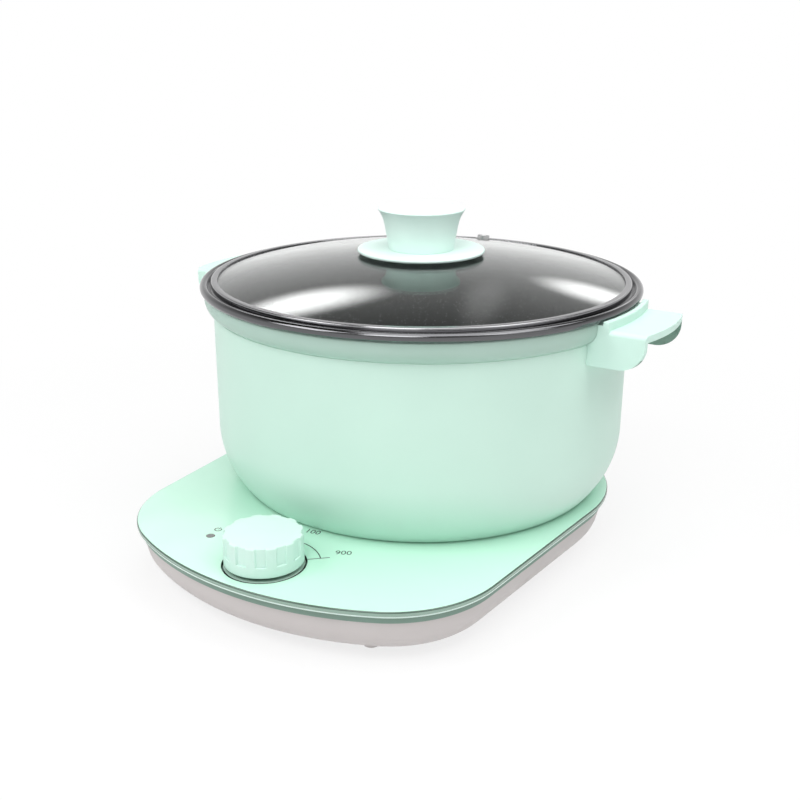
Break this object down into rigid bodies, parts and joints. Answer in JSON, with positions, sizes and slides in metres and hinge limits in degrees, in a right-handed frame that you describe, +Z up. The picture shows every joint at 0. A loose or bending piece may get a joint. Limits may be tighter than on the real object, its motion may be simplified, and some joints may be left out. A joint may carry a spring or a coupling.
{
  "type": "electric hot pot with lid",
  "caption": "Split electric hot pot: an induction base with a dial, a two-handled pot that lifts off its glass hob, and a domed glass lid with a steel rim and a flared knob.",
  "frame": {"origin": "on the table, under the middle of the product's bounding box", "axes": "+Z up; the user stands at -Y, where the dial is; +X is the user's right, along the two handles"},
  "size_m": [0.338, 0.342, 0.2149],
  "materials": {
    "hob_glass": "back-painted polished glass, pale mint",
    "band_plastic": "satin moulded, mint",
    "tray_plastic": "fine matt moulded, warm pink grey",
    "foot_rubber": "matt",
    "screw_steel": "zinc plated",
    "inlet_plastic": "satin black",
    "pin_metal": "nickel plated",
    "dial_trim": "satin, deeper green",
    "dial_plastic": "soft satin, pale mint",
    "plated_steel": "bright",
    "board": "solder resist",
    "indicator": "smoked lens",
    "mica": "dull",
    "copper": "enamelled copper",
    "former_plastic": "matt",
    "ferrite": "sintered",
    "sink_metal": "extruded",
    "component_plastic": "moulded",
    "capacitor_plastic": "moulded",
    "pot_coat": "matt mint ceramic coat, dark non-stick inside",
    "disc_steel": "ground",
    "handle_plastic": "satin moulded, mint",
    "lid_glass": "clear toughened",
    "ring_steel": "polished stainless",
    "vent_steel": "polished stainless",
    "gasket_rubber": "silicone",
    "knob_plastic": "satin moulded, pale mint",
    "insert_brass": "turned"
  },
  "bodies": {
    "base": {"hob_glass": "hob_glass", "upper_housing": "band_plastic", "lower_housing": "tray_plastic", "rubber_feet": "foot_rubber", "housing_screws": "screw_steel", "mains_inlet": "inlet_plastic", "inlet_pins": "pin_metal", "dial_cup": "dial_trim", "encoder": "plated_steel", "encoder_nut": "screw_steel", "control_board": "board", "indicator_light": "indicator", "mica_sheet": "mica", "induction_coil": "copper", "coil_former": "former_plastic", "ferrite_bars": "ferrite", "temperature_sensor": "plated_steel", "power_board": "board", "heat_sink": "sink_metal", "power_transistor": "component_plastic", "filter_capacitors": "capacitor_plastic", "mains_choke": "copper", "fan_frame": "former_plastic", "small_screws": "screw_steel"},
    "dial": {"dial_knob": "dial_plastic", "dial_shaft": "plated_steel"},
    "fan": {"fan_impeller": "former_plastic", "fan_spindle": "plated_steel"},
    "pot": {"pot_body": "pot_coat", "base_disc": "disc_steel", "handle_studs": "disc_steel", "right_handle": "handle_plastic", "left_handle": "handle_plastic", "handle_screws": "screw_steel"},
    "lid": {"lid_glass": "lid_glass", "lid_ring": "ring_steel", "steam_vent": "vent_steel", "lid_gasket": "gasket_rubber", "lid_saucer": "knob_plastic", "lid_knob": "knob_plastic", "knob_insert": "insert_brass", "lid_washer": "gasket_rubber", "lid_screw": "screw_steel"}
  },
  "joints": [
    {"name": "dial_turn", "type": "hinge", "parent": "base", "child": "dial", "pos_m": [0, -0.14045, 0.037], "axis": [0, 0, -1], "range_deg": [0, 135]},
    {"name": "fan_spin", "type": "hinge", "parent": "base", "child": "fan", "pos_m": [0.06, -0.08, 0.01], "axis": [0, 0, 1], "continuous": true},
    {"name": "pot_lift", "type": "slide", "parent": "base", "child": "pot", "axis": [0, 0, 1], "range_m": [0, 0.25]},
    {"name": "lid_lift", "type": "slide", "parent": "pot", "child": "lid", "axis": [0, 0, 1], "range_m": [0, 0.2]}
  ]
}
